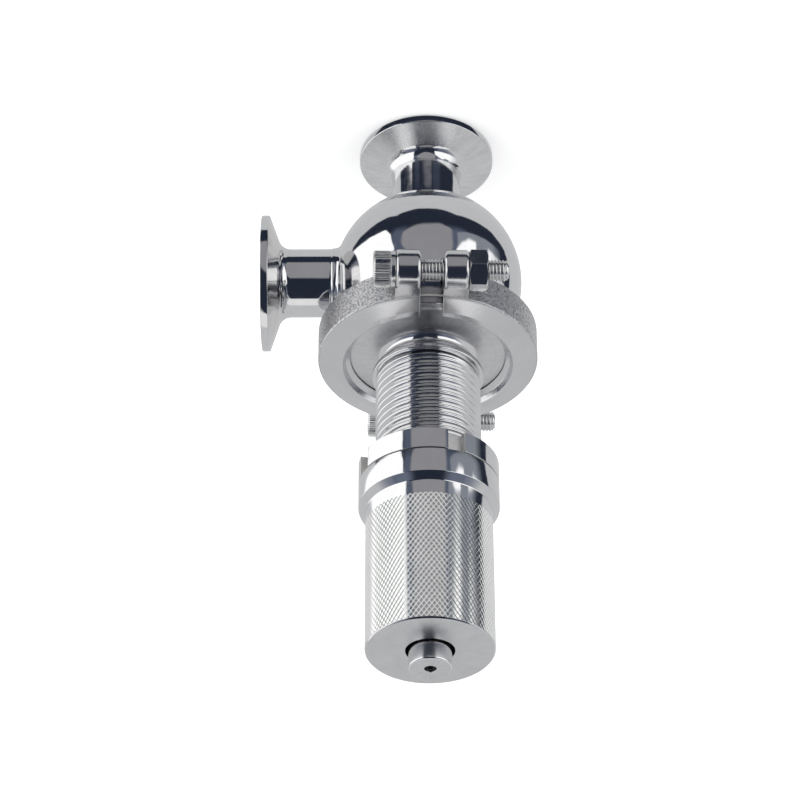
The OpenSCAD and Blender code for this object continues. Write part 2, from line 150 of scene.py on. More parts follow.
# Node materials
class Nodes:
    """A small helper that adds nodes to a material or a world and joins them."""

    def __init__(self, owner, output="OutputMaterial"):
        self.owner = owner
        owner.use_nodes = True
        self.tree = owner.node_tree
        self.tree.nodes.clear()
        self.out = self.add(output)

    def add(self, kind, **values):
        node = self.tree.nodes.new("ShaderNode" + kind)
        for key, value in values.items():
            setattr(node, key, value)
        return node

    def link(self, a, b):
        self.tree.links.new(a, b)

    def put(self, socket, value):
        if isinstance(value, (int, float, tuple)):
            socket.default_value = value
        else:
            self.link(value, socket)

    def math(self, op, a, b=None):
        node = self.add("Math", operation=op)
        self.put(node.inputs[0], a)
        if b is not None:
            self.put(node.inputs[1], b)
        return node.outputs[0]

    def mix(self, a, b, part):
        """a and b mixed, b with its part."""
        return self.math("ADD", self.math("MULTIPLY", a, 1 - part), self.math("MULTIPLY", b, part))

    def length(self, a, b):
        squares = self.math("ADD", self.math("MULTIPLY", a, a), self.math("MULTIPLY", b, b))
        return self.math("SQRT", squares)

    def coords(self):
        """Position in millimetres, as x, y and z, and as a vector in self.vector."""
        place = self.add("TexCoord")
        scaled = self.add("VectorMath", operation="SCALE")
        self.link(place.outputs["Object"], scaled.inputs[0])
        scaled.inputs["Scale"].default_value = 1/MM
        parts = self.add("SeparateXYZ")
        self.link(scaled.outputs[0], parts.inputs[0])
        self.vector = scaled.outputs[0]
        return parts.outputs[0], parts.outputs[1], parts.outputs[2]

    def noise(self, vector, scale, detail=3.0, rough=0.5, dims="3D", distortion=0.0):
        node = self.add("TexNoise", noise_dimensions=dims)
        self.link(vector, node.inputs["Vector"])
        node.inputs["Scale"].default_value = scale
        node.inputs["Detail"].default_value = detail
        node.inputs["Roughness"].default_value = rough
        node.inputs["Distortion"].default_value = distortion
        return node.outputs["Fac"]

    def ramp(self, fac, stops):
        node = self.add("ValToRGB")
        self.link(fac, node.inputs[0])
        elements = node.color_ramp.elements
        while len(elements) > 1:
            elements.remove(elements[-1])
        for i, (at, color) in enumerate(stops):
            element = elements[0] if i == 0 else elements.new(at)
            element.position = at
            element.color = (*color, 1.0)
        return node.outputs[0]

    def remap(self, fac, to_low, to_high, low=0.0, high=1.0):
        node = self.add("MapRange")
        self.link(fac, node.inputs[0])
        for i, value in enumerate((low, high, to_low, to_high)):
            node.inputs[i + 1].default_value = value
        return node.outputs[0]

    def combine(self, x, y, z):
        node = self.add("CombineXYZ")
        for i, value in enumerate((x, y, z)):
            self.put(node.inputs[i], value)
        return node.outputs[0]

    def bevel(self, radius, samples):
        node = self.add("Bevel", samples=samples)
        node.inputs["Radius"].default_value = radius*MM
        return node.outputs[0]

    def bump(self, height, strength, distance, normal=None):
        """A bumped normal; distance is in millimetres."""
        node = self.add("Bump")
        self.link(height, node.inputs["Height"])
        node.inputs["Strength"].default_value = strength
        node.inputs["Distance"].default_value = distance*MM
        if normal is not None:
            self.link(normal, node.inputs["Normal"])
        return node.outputs[0]

    def painted_crevice_shade(self, color, reach, dark, clear=0.7):
        """The colour with painted shade, darker where a neighbour lies within reach (mm)."""
        open_air = self.add("AmbientOcclusion", samples=6)
        open_air.inputs["Distance"].default_value = reach*MM
        shade = self.ramp(open_air.outputs["AO"], [(0.0, (dark,)*3), (clear, (1.0,)*3)])
        product = self.add("Mix", data_type="RGBA", blend_type="MULTIPLY")
        product.inputs["Factor"].default_value = 1.0
        self.link(color, product.inputs[6])
        self.link(shade, product.inputs[7])
        return product.outputs[2]

    def surface(self, color, rough, metal, normal):
        """Close the material with a Principled shader."""
        shader = self.add("BsdfPrincipled")
        self.put(shader.inputs["Base Color"], color)
        self.put(shader.inputs["Roughness"], rough)
        self.put(shader.inputs["Metallic"], metal)
        self.put(shader.inputs["Normal"], normal)
        self.link(shader.outputs[0], self.out.inputs[0])
        return self.owner

    def glow(self, color, level):
        node = self.add("Emission")
        self.put(node.inputs[0], (*color, 1.0))
        self.put(node.inputs[1], level)
        return node

    def either(self, part, first, second):
        """Close with a mix of two shaders, the second with its part."""
        node = self.add("MixShader")
        self.link(part, node.inputs[0])
        self.link(first.outputs[0], node.inputs[1])
        self.link(second.outputs[0], node.inputs[2])
        self.link(node.outputs[0], self.out.inputs[0])
        return self.owner


def turned(name, tint, rough, lines=0.12, axis="Z", wave=0.0, edge=0.0, spread=0.03, reach=1.6,
           dark=0.12, streak=0.0):
    """Steel turned and polished about the stem's axis (Z) or the outlet's (X). lines is the strength of
    the fine tool rings, wave that of broad waves, spread the change of roughness in the smears, edge
    the rounding of sharp edges (mm), dark the depth of the painted shade in crevices within reach (mm),
    and streak the share of soft streaks that run outwards from the axis."""
    m = Nodes(bpy.data.materials.new(name))
    x, y, z = m.coords()
    if axis == "X":
        across, along = m.math("SUBTRACT", z, BALL_Z), x
        r = m.length(y, across)
    else:
        across, along = x, z
        r = m.length(x, y)
    rings = m.combine(r, along, 0.0)
    fine = m.noise(rings, 9.0, 4.0, 0.6, "2D")
    broad = m.noise(rings, 1.3, 2.0, 0.5, "2D")
    smear = m.noise(m.vector, 0.12, 5.0, 0.62, distortion=0.6)
    spots = m.noise(m.vector, 1.7, 3.0, 0.6)
    level = m.mix(smear, spots, 0.3)
    if streak:
        rays = m.combine(m.math("DIVIDE", across, r), m.math("DIVIDE", y, r), m.math("MULTIPLY", r, 0.012))
        level = m.mix(level, m.noise(rays, 9.0, 3.0, 0.55), streak)
    dim = tuple(c*(0.93 - 0.25*streak) for c in tint)
    # the colour carries painted shade, darker wherever a neighbour lies within reach
    color = m.painted_crevice_shade(m.ramp(level, [(0.32, dim), (0.62, tint)]), reach, dark)
    smeared = m.remap(level, -spread, spread, 0.3, 0.7)
    rough_map = m.math("ADD", smeared, m.remap(fine, rough*0.8, rough*1.2, 0.3, 0.7))
    normal = m.bump(m.mix(fine, broad, 0.5), lines, 0.02, m.bevel(edge, 4) if edge else None)
    if wave:
        normal = m.bump(m.noise(m.vector, 0.11, 2.0, 0.5), wave, 0.35, normal)
    return m.surface(color, rough_map, 1.0, normal)


def cast(name, tint, rough, grain, edge):
    """Investment cast steel: pebbled on the clamp ring's outside, ground and polished on the rest. Its
    colour has painted shade in the pebbles' low spots and in recesses.
    """
    m = Nodes(bpy.data.materials.new(name))
    x, y, z = m.coords()
    r = m.length(x, y)
    height = m.math("ABSOLUTE", m.math("SUBTRACT", z, JOINT))
    skin = m.math("MULTIPLY", m.remap(r, 0.0, 1.0, CLAMP_R - 1.1, CLAMP_R - 0.4),
                  m.remap(r, 1.0, 0.0, CLAMP_R + 0.6, CLAMP_R + 1.4))
    skin = m.math("MULTIPLY", skin, m.remap(height, 1.0, 0.0, CLAMP_BAND - 0.25, CLAMP_BAND + 0.35))
    pebble = m.noise(m.vector, 1.3, 5.0, 0.68)
    wave = m.noise(m.vector, 0.16, 3.0, 0.55)
    blot = m.noise(m.vector, 0.07, 4.0, 0.6, distortion=0.4)
    fine = m.noise(m.vector, 2.6, 3.0, 0.6)
    tone = m.mix(blot, fine, 0.4)
    color = m.ramp(tone, [(0.3, tuple(c*0.88 for c in tint)), (0.7, tint)])
    # painted shade: the colour falls to 0.45 in the low spots of the pebbled skin
    pit_shade = m.remap(m.math("MULTIPLY", skin, m.remap(pebble, 1.0, 0.0, 0.35, 0.55)), 1.0, 0.45)
    pit_shaded = m.add("VectorMath", operation="SCALE")
    m.link(color, pit_shaded.inputs[0])
    m.link(pit_shade, pit_shaded.inputs["Scale"])
    # painted shade in the clamp's recesses, deep where a neighbour lies within 4.5 mm
    color = m.painted_crevice_shade(pit_shaded.outputs[0], 4.5, 0.02, 0.8)
    ground = m.math("ADD", m.math("MULTIPLY", wave, 0.35), m.math("MULTIPLY", fine, 0.05))
    relief = m.math("ADD", m.math("MULTIPLY", pebble, skin), ground)
    normal = m.bump(relief, grain, 0.22, m.bevel(edge, 6))
    rough_map = m.math("ADD", m.remap(tone, rough*0.75, rough*1.25, 0.3, 0.7),
                       m.math("MULTIPLY", skin, 0.06))
    return m.surface(color, rough_map, 1.0, normal)


def rubber(name, tint, rough):
    """Rubber or soft plastic: faint mould grain and dust."""
    m = Nodes(bpy.data.materials.new(name))
    m.coords()
    dust = m.noise(m.vector, 0.3, 4.0, 0.6)
    pale = tuple(min(1.0, c*1.15 + 0.01) for c in tint)
    normal = m.bump(m.noise(m.vector, 3.0, 4.0, 0.6), 0.25, 0.05)
    return m.surface(m.ramp(dust, [(0.35, tint), (0.75, pale)]),
                     m.remap(dust, rough - 0.08, rough + 0.08, 0.3, 0.7), 0.0, normal)


STEEL = (0.80, 0.80, 0.81)
SATIN = (0.76, 0.76, 0.77)
# Every finish below has painted shade in its crevices; reach and dark set its spread and depth.
mat_polish = turned("polished_turned", STEEL, 0.085, lines=0.05, wave=0.16, dark=0.3)
mat_polish_x = turned("polished_turned_outlet", STEEL, 0.075, lines=0.05, axis="X", wave=0.10, spread=0.02)
mat_ball = turned("polished_ball", STEEL, 0.07, lines=0.02, wave=0.22, spread=0.02)
mat_satin = turned("faced_satin", SATIN, 0.32, lines=0.25, spread=0.05, streak=0.4)
mat_end = turned("faced_cap_end", SATIN, 0.34, lines=0.3, spread=0.05, streak=0.25)
mat_button = turned("turned_button", (0.88, 0.88, 0.88), 0.20, lines=0.1, spread=0.04, dark=0.5)
mat_faced = turned("faced_clamp_end", (0.84, 0.84, 0.84), 0.27, lines=0.25, spread=0.05, streak=0.55)
mat_faced_x = turned("faced_clamp_end_outlet", (0.82, 0.81, 0.80), 0.13, lines=0.15, axis="X",
                     spread=0.04, streak=0.4)
mat_thread = turned("cut_thread", (0.80, 0.80, 0.80), 0.11, lines=0.15, reach=1.2, dark=0.4)
mat_knurl = turned("rolled_knurl", (0.86, 0.86, 0.85), 0.16, lines=0.10, reach=0.2, dark=0.8)
mat_slot = turned("milled_slot", (0.90, 0.89, 0.86), 0.42, lines=0.5, spread=0.05, reach=1.2, dark=0.4)
# The rims get deep painted shade from anything within 14 mm, so they turn dark inside the clamp's gap.
mat_rim_painted_shade = turned("flange_rim_painted_shade", STEEL, 0.12, lines=0.3, reach=14.0, dark=0.0)
mat_inner = turned("plain_turned", (0.70, 0.70, 0.71), 0.22, lines=0.3)
mat_cast = cast("cast_skin", SATIN, 0.15, 0.7, 0.5)
mat_bolt = turned("bright_fastener", (0.74, 0.74, 0.75), 0.16, lines=0.15, edge=0.25, spread=0.04)
mat_bolt_thread = turned("bright_fastener_thread", (0.76, 0.76, 0.76), 0.18)
# The grub screw is coloured near black as painted shade for the deep hole in the button.
mat_black_painted_shade = turned("grub_black_painted_shade", (0.035, 0.035, 0.04), 0.38, lines=0.3, edge=0.15)
mat_spring = turned("spring_wire", (0.42, 0.42, 0.44), 0.32, lines=0.2, spread=0.06)
mat_gasket = rubber("silicone_white", (0.72, 0.71, 0.68), 0.5)
mat_rubber = rubber("rubber_black", (0.03, 0.03, 0.03), 0.55)
mat_ptfe = rubber("ptfe_white", (0.80, 0.80, 0.78), 0.42)


# Mesh code
def rounded(points):
    """Profile points (a, b) or (a, b, radius): each corner with a radius becomes an arc. An arc takes
    up no more than most of half of a side, and a nearly straight corner stays a point."""
    reach, straight, step = 0.55, math.radians(88), math.radians(13)
    out = []
    for i, (x, y, *radius) in enumerate(points):
        corner = Vector((x, y))
        back = Vector(points[i - 1][:2]) - corner
        ahead = Vector(points[(i + 1) % len(points)][:2]) - corner
        half = back.angle(ahead)/2
        if not radius or half > straight:
            out.append((x, y))
            continue
        cut = min(radius[0]/math.tan(half), reach*back.length, reach*ahead.length)
        back.normalize()
        ahead.normalize()
        middle = corner + (back + ahead).normalized()*(cut/math.cos(half))
        start, end = corner + back*cut - middle, corner + ahead*cut - middle
        turn = start.angle_signed(end)
        steps = max(2, math.ceil(abs(turn)/step))
        for k in range(steps + 1):
            c, s = math.cos(turn*k/steps), math.sin(turn*k/steps)
            out.append((middle.x + start.x*c + start.y*s, middle.y - start.x*s + start.y*c))
    return out


def smooth(me, sharp):
    """Shade smooth, but for edges sharper than an angle in degrees."""
    me.polygons.foreach_set("use_smooth", [True]*len(me.polygons))
    me.set_sharp_from_angle(angle=math.radians(sharp))


def to_object(name, verts, faces, mats, sharp=35.0, pick=None):
    """A mesh object from points in millimetres. pick gives the material for a face's centre and
    normal."""
    me = bpy.data.meshes.new(name)
    me.from_pydata([Vector(p)*MM for p in verts], [], faces)
    bm = bmesh.new()
    bm.from_mesh(me)
    bmesh.ops.remove_doubles(bm, verts=bm.verts, dist=1e-7)
    bmesh.ops.dissolve_degenerate(bm, edges=bm.edges, dist=1e-7)
    bmesh.ops.recalc_face_normals(bm, faces=bm.faces)
    bm.to_mesh(me)
    bm.free()
    for mat in mats:
        me.materials.append(mat)
    if pick:
        for p in me.polygons:
            p.material_index = pick(p.center/MM, p.normal)
    smooth(me, sharp)
    ob = bpy.data.objects.new(name, me)
    bpy.context.scene.collection.objects.link(ob)
    return ob


def join(*parts):
    """The points and faces of several parts as one."""
    verts, faces = [], []
    for part_verts, part_faces in parts:
        faces += [tuple(len(verts) + k for k in face) for face in part_faces]
        verts += part_verts
    return verts, faces


def spaced(first, last, steps):
    """Evenly spaced values from first to last, both included."""
    return [first + (last - first)*k/steps for k in range(steps + 1)]


def ring_at(r, a, z):
    """The point at radius r, angle a and height z."""
    return r*math.cos(a), r*math.sin(a), z


def spin(profile, seg=ROUND):
    """Points and faces of a closed profile turned about the axis."""
    n = len(profile)
    verts = [ring_at(r, TAU*i/seg, z) for i in range(seg) for r, z in profile]
    faces = []
    for i in range(seg):
        here, there = i*n, ((i + 1) % seg)*n
        for k in range(n):
            up = (k + 1) % n
            faces.append((here + k, there + k, there + up, here + up))
    return verts, faces


def thread_section(crest, root, points=12):
    """One pitch of a rounded thread, from the middle of a root to the next."""
    return [(k/points, root + (crest - root)*(0.5 - 0.5*math.cos(TAU*k/points))) for k in range(points)]


def helix_sleeve(section, pitch, low, high, inner, seg, fade):
    """A threaded sleeve. section is (share of the pitch, radius), closed inside at radius inner. The
    thread runs out over fade turns at both ends."""
    m = len(section)
    turns = math.ceil((high - low)/pitch) + 2
    rows = turns*m + 1
    root = min(r for _, r in section)
    verts = []
    for i in range(seg + 1):
        a = TAU*i/seg
        verts.append(ring_at(inner, a, low))
        for j in range(rows):
            share, r = section[j % m]
            z = low - pitch + (j//m + share + i/seg)*pitch
            ease = max(0.0, min(1.0, (z - low)/(fade*pitch), (high - z)/(fade*pitch)))
            verts.append(ring_at(root + (r - root)*ease, a, max(low, min(high, z))))
        verts.append(ring_at(inner, a, high))
    n = rows + 2
    faces = []
    for i in range(seg):
        here, there = i*n, (i + 1)*n
        faces += [(here + k, there + k, there + k + 1, here + k + 1) for k in range(n - 1)]
        faces.append((here + n - 1, there + n - 1, there, here))
    return verts, faces


def knurl_sheet(radius, low, high, count, tall, depth, width=0.11):
    """Diamonds with flat tops between two families of V grooves that cross. width is the half width
    of a groove as a share of their spacing. It runs past low and high, where the caller cuts it."""
    share = (0.0, width, 1 - width)
    verts, faces, seen = [], [], {}

    def point(i, j):
        """The number of the lattice's point i, j, made when it is first asked for."""
        if i >= 3*count:
            i, j = i - 3*count, j - 3*count
        if (i, j) not in seen:
            p, q = i//3 + share[i % 3], j//3 + share[j % 3]
            on_top = i % 3 and j % 3
            seen[i, j] = len(verts)
            verts.append(ring_at(radius if on_top else radius - depth, TAU*(p + q)/2/count,
                                 low + (p - q)/2*tall))
        return seen[i, j]

    for k in range(-2, 2*math.ceil((high - low)/tall) + 2):
        for i in range(count):
            for a in range(3):
                for b in range(3):
                    m, n = 3*i + a, 3*(i - k) + b
                    q = [point(m, n), point(m + 1, n), point(m + 1, n + 1), point(m, n + 1)]
                    if a == 1 or b == 1:
                        faces.append(q)
                    elif a == b:
                        faces += [(q[0], q[1], q[2]), (q[0], q[2], q[3])]
                    else:
                        faces += [(q[0], q[1], q[3]), (q[1], q[2], q[3])]
    return verts, faces


def straight_knurl(radius, low, high, count, depth):
    """Grooves along the axis, rounded on top and run out at both ends."""
    crest = (0.0, 0.75, 1.0, 0.75)
    columns = count*len(crest)
    rows = [(low, 0.0), (low + depth, 1.0), (high - depth, 1.0), (high, 0.0)]
    verts = [ring_at(radius - depth*(1 - crest[i % len(crest)]*full), TAU*i/columns, z)
             for z, full in rows for i in range(columns)]
    faces = []
    for j in range(len(rows) - 1):
        for i in range(columns):
            a, b = j*columns + i, j*columns + (i + 1) % columns
            faces.append((a, b, b + columns, a + columns))
    return verts, faces


def cut_level(bm, z, side):
    """Cut away what lies above (side 1) or below (side -1) a height."""
    bmesh.ops.bisect_plane(bm, geom=bm.verts[:] + bm.edges[:] + bm.faces[:], dist=1e-9,
                           plane_co=(0, 0, z*MM), plane_no=(0, 0, side), clear_outer=True)


def open_edges(bm, z):
    """The open edges that a cut has left at a height."""
    return [e for e in bm.edges if e.is_boundary and all(abs(w.co.z - z*MM) < 1e-7 for w in e.verts)]


def add_piece(ob, body, replaced):
    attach(ob, body)
    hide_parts(replaced)


def groove(middle, face):
    """A half-round gasket groove in a face that looks down, from the axis outwards."""
    return [(middle - GROOVE_R*math.cos(a), face + GROOVE_R*math.sin(a)) for a in spaced(0, math.pi, 8)]


# Clamp ends: faced metal on the cones, polish on the rest
def clamp_end_profile(length):
    corner, fillet = 0.35, 4.6
    return rounded([(BORE_R, 0, EDGE)] + groove(END_GROOVE_R, 0) +
                   [(END_R, 0, corner), (END_R, RIM, corner), (TUBE_R, CONE_TOP, fillet),
                    (TUBE_R, length), (BORE_R, length)])


def on_cone(along, r):
    """1 for a place on the cone, by its distance from the face and from the axis, 0 elsewhere."""
    return int(RIM + 0.05 < along < CONE_TOP - 1.0 and r > TUBE_R + 0.2)


def inlet_end():
    verts, faces = spin(clamp_end_profile(SEAT_BASE))

    def pick(c, n):
        return on_cone(c.z, math.hypot(c.x, c.y))

    ob = to_object("inlet_end", verts, faces, [mat_polish, mat_faced], pick=pick)
    add_piece(ob, "housing", "inlet_ferrule")


def outlet_end():
    start = math.sqrt(BALL_INSIDE_R**2 - TUBE_R**2) - TUBE_IN
    verts, faces = spin(clamp_end_profile(REACH - start))
    verts = [(REACH - z, y, BALL_Z - x) for x, y, z in verts]

    def pick(c, n):
        return on_cone(REACH - c.x, math.hypot(c.y, c.z - BALL_Z))

    ob = to_object("outlet_end", verts, faces, [mat_polish_x, mat_faced_x], pick=pick)
    add_piece(ob, "housing", "outlet_ferrule")


def ball_shell():
    """Ball, drawn neck and weld, turned about the outlet's axis, then cut for inlet and flange."""
    neck_r = TUBE_R + 0.3
    round_r = neck_r + NECK_FILLET
    far = BALL_R + NECK_FILLET
    round_x = math.sqrt(far*far - round_r*round_r)
    # the ball, from the side opposite the outlet to the neck
    neck = math.atan2(round_r, round_x)
    outline = [(BALL_R*math.sin(a), BALL_R*math.cos(a)) for a in spaced(math.pi, neck, 96)]
    # the rounding where the neck leaves it
    outline += [(round_r - NECK_FILLET*math.cos(a), round_x - NECK_FILLET*math.sin(a))
                for a in spaced(math.acos(round_r/far), 0, 12)[1:]]
    # a soft bead where the tube is welded on
    bead_l, bead_fall, bead_h = 1.5, 0.28, 0.14
    outline += [(neck_r - bead_fall*s + bead_h*math.sin(s*TAU)*(1 - s), round_x + bead_l*s)
                for s in spaced(0, 1, 24)[1:]]
    # down to the tube, and the inside of the ball
    hole_r = TUBE_R + 0.01
    outline.append((hole_r, round_x + bead_l + 0.05))
    outline += [(BALL_INSIDE_R*math.sin(a), BALL_INSIDE_R*math.cos(a))
                for a in spaced(math.asin(hole_r/BALL_INSIDE_R), math.pi, 64)]
    verts, faces = spin(outline)
    ob = to_object("ball_shell", [(z, y, x + BALL_Z) for x, y, z in verts], faces, [mat_ball])
    bm = bmesh.new()
    bm.from_mesh(ob.data)
    for z, side in ((WELD_Z, 1), (BALL_Z - math.sqrt(BALL_R**2 - TUBE_R**2), -1)):
        cut_level(bm, z, side)
        bmesh.ops.bridge_loops(bm, edges=open_edges(bm, z))
    bm.to_mesh(ob.data)
    bm.free()
    smooth(ob.data, 35)
    add_piece(ob, "housing", "body_ball")


def bonnet():
    """The bonnet's turned form, with a helical thread round it."""
    cone_r = FLANGE_R - (FLANGE_T - RIM)/SLOPE
    neck_fillet = 3.6
    outline = rounded([(GUIDE_R, BOSS_Z, EDGE), (BOSS_R, BOSS_Z, 0.6), (BOSS_R, UPPER_FACE, EDGE)] +
                      groove(BEAD_R, UPPER_FACE) +
                      [(FLANGE_R, UPPER_FACE, EDGE), (FLANGE_R, UPPER_FACE + RIM, EDGE),
                       (cone_r, BACK, 0.4), (NECK_R, BACK, neck_fillet), (NECK_R, COLLAR, 0.4),
                       (COLLAR_R, COLLAR, 0.45), (COLLAR_R, CHAMBER, 0.45),
                       (THREAD_CORE_R, CHAMBER), (THREAD_CORE_R, BONNET_TOP),
                       (CHAMBER_R, BONNET_TOP), (CHAMBER_R, CHAMBER), (BUSH_R, CHAMBER),
                       (BUSH_R, BUSH_Z), (GUIDE_R, BUSH_Z)])
    thread = helix_sleeve(thread_section(THREAD_R, THREAD_ROOT_R), PITCH, CHAMBER + 0.01, BONNET_TOP,
                          THREAD_CORE_R - 0.2, 160, fade=0.6)
    verts, faces = join(spin(outline), thread)

    def pick(c, n):
        r = math.hypot(c.x, c.y)
        if c.z > CHAMBER + 0.005 and THREAD_CORE_R - 0.3 < r < THREAD_R + 0.2:
            return 1
        if abs(c.z - BACK) < 0.05 and r > THREAD_CORE_R - 0.3 and n.z > 0.9:
            return 2
        return 3 if r > FLANGE_R - 0.5 else 0

    ob = to_object("bonnet_threaded", verts, faces, [mat_polish, mat_thread, mat_satin, mat_rim_painted_shade],
                   sharp=50, pick=pick)
    add_piece(ob, "housing", "bonnet")


def lock_ring():
    """The slotted ring with four spanner slots and broken edges. Its outline is (radius, angle)."""
    corner = math.asin(SLOT_HALF/RING_R)
    outline = []
    for s in range(4):
        turn = math.radians(SLOT_TURN + 90*s)
        outline += [(math.hypot(SLOT_FLOOR_R, y), turn + math.atan2(y, SLOT_FLOOR_R))
                    for y in spaced(-SLOT_HALF, SLOT_HALF, 12)]
        outline += [(RING_R, turn + a) for a in spaced(corner, TAU/4 - corner, 48)]
    verts = [ring_at(r, a, z) for z in (RING_BASE, RING_TOP) for r, a in outline]
    verts += [ring_at(SCREW_R, a, z) for z in (RING_TOP, RING_BASE) for r, a in outline]
    n = len(outline)
    faces = []
    for level in range(4):
        here, there = level*n, ((level + 1) % 4)*n
        for i in range(n):
            j = (i + 1) % n
            faces.append((here + i, here + j, there + j, there + i))

    def pick(c, n):
        if abs(n.z) > 0.9:
            return 2
        return 1 if SCREW_R + 1 < math.hypot(c.x, c.y) < RING_R - 0.4 else 0

    ob = to_object("lock_ring_slotted", verts, faces, [mat_polish, mat_slot, mat_satin], sharp=30,
                   pick=pick)
    edges = ob.modifiers.new("edges", "BEVEL")
    edges.width = 0.35*MM
    edges.segments = 3
    edges.limit_method = "ANGLE"
    edges.angle_limit = math.radians(40)
    edges.harden_normals = True
    add_piece(ob, "lock_ring", "lock_ring")


def knurl_sleeve(inner_r, slot):
    """The cap's knurl as a mesh, cut square at both ends and closed inside as a sleeve."""
    verts, faces = knurl_sheet(GRIP_R, KNURL_LOW, KNURL_HIGH, KNURL_COUNT, KNURL_TALL, KNURL_DEEP)
    me = bpy.data.meshes.new("knurl")
    me.from_pydata([Vector(p)*MM for p in verts], [], faces)
    bm = bmesh.new()
    bm.from_mesh(me)
    cut_level(bm, KNURL_LOW, -1)
    cut_level(bm, KNURL_HIGH, 1)
    bmesh.ops.delete(bm, geom=[w for w in bm.verts if not w.link_faces], context="VERTS")
    inside = []
    for z in (KNURL_LOW, KNURL_HIGH):
        for w in bm.verts:
            if abs(w.co.z - z*MM) < 2e-8:
                w.co.z = z*MM
        new = bmesh.ops.extrude_edge_only(bm, edges=open_edges(bm, z))["geom"]
        for w in (g for g in new if isinstance(g, bmesh.types.BMVert)):
            shrink = inner_r*MM/math.hypot(w.co.x, w.co.y)
            w.co.x *= shrink
            w.co.y *= shrink
        inside += [g for g in new if isinstance(g, bmesh.types.BMEdge) and g.is_boundary]
    bmesh.ops.bridge_loops(bm, edges=inside)
    bmesh.ops.recalc_face_normals(bm, faces=bm.faces)
    for face in bm.faces:
        face.material_index = slot
        face.smooth = True
    bm.to_mesh(me)
    bm.free()
    return me


def cap():
    """The adjusting cap with its diamond knurl."""
    knurl_slot, sharp = 2, 28
    low = RING_TOP + TOUCH
    base = GRIP_R - KNURL_DEEP - 0.1
    outline = rounded([(SCREW_R, low), (RING_R - 0.4, low, 0.2), (RING_R, low + 0.5, 0.2),
                       (RING_R, SHOULDER, 0.3), (GRIP_R, TAPER, 0.6),
                       (GRIP_R, KNURL_LOW), (base, KNURL_LOW + 0.001), (base, KNURL_HIGH),
                       (GRIP_R - 0.1, KNURL_HIGH, 0.1), (GRIP_R - 0.5, CAP_TOP, 0.2),
                       (CAP_HOLE_R, CAP_TOP, 0.35), (CAP_HOLE_R, CAP_ROOF), (SCREW_R, CAP_ROOF)])
    verts, faces = spin(outline, 268)

    def pick(c, n):
        return 1 if n.z > 0.9 and c.z > CAP_TOP - 0.05 else 0

    ob = to_object("cap_knurled", verts, faces, [mat_polish, mat_end, mat_knurl], sharp=sharp, pick=pick)
    sleeve = knurl_sleeve(base - 0.3, knurl_slot)
    bm = bmesh.new()
    bm.from_mesh(ob.data)
    bm.from_mesh(sleeve)
    bm.to_mesh(ob.data)
    bm.free()
    bpy.data.meshes.remove(sleeve)
    ob.data.set_sharp_from_angle(angle=math.radians(sharp))
    # the flat tops keep the cylinder's own normals, so that the reflections run on across them
    normals = [(0.0, 0.0, 0.0)]*len(ob.data.loops)
    for p in ob.data.polygons:
        points = [ob.data.vertices[k].co for k in p.vertices]
        on_top = min(math.hypot(q.x, q.y) for q in points) > (GRIP_R - 0.01)*MM
        if p.material_index == knurl_slot and on_top:
            for loop, q in zip(p.loop_indices, points):
                normals[loop] = tuple(Vector((q.x, q.y, 0)).normalized())
    ob.data.normals_split_custom_set(normals)
    add_piece(ob, "cap", "cap")


def button():
    """The button on the stem's end, open in the middle for the grub screw."""
    inside = BUTTON_BASE + BUTTON_IN
    outline = rounded([(STEM_TOP_R, BUTTON_BASE), (BUTTON_R, BUTTON_BASE, EDGE),
                       (BUTTON_R, BUTTON_TOP, 0.75), (GRUB_R, BUTTON_TOP, EDGE), (GRUB_R, inside),
                       (STEM_TOP_R, inside)])
    verts, faces = spin(outline, 160)

    def pick(c, n):
        return 1 if n.z > 0.9 and c.z > BUTTON_TOP - 0.1 else 0

    ob = to_object("button_turned", verts, faces, [mat_button, mat_satin], pick=pick)
    add_piece(ob, "stem_assembly", "button")


def socket_head():
    """A screw head that stands on height 0: plain rim, place for the knurl, end and socket."""
    seg, sixth = 96, TAU/6
    rim_h, side_r, mouth_r, mouth = 1.6, HEAD_R - 0.35, 3.9, HEAD_H - 0.25
    outline = rounded([(0, 0), (HEAD_R, 0, 0.25), (HEAD_R, rim_h, 0.2), (side_r, rim_h + 0.15),
                       (side_r, HEAD_H - 0.35), (HEAD_R - 0.9, HEAD_H, 0.3), (mouth_r, HEAD_H),
                       (mouth_r, mouth)])
    verts, faces = spin(outline, seg)
    n = len(outline)
    # the turned form stays open between the socket's mouth and the axis
    faces = [face for face in faces if face[0] % n != n - 1]
    first = len(verts)
    for z in (mouth, HEAD_H - SOCKET_DEEP):
        for i in range(seg):
            a = TAU*i/seg
            verts.append(ring_at(SOCKET_HALF/math.cos(a % sixth - sixth/2), a, z))
    middle = len(verts)
    verts.append((0, 0, HEAD_H - SOCKET_DEEP))
    for i in range(seg):
        j = (i + 1) % seg
        faces.append((i*n + n - 1, first + i, first + j, j*n + n - 1))
        faces.append((first + i, first + seg + i, first + seg + j, first + j))
        faces.append((first + seg + i, middle, first + seg + j))
    return verts, faces


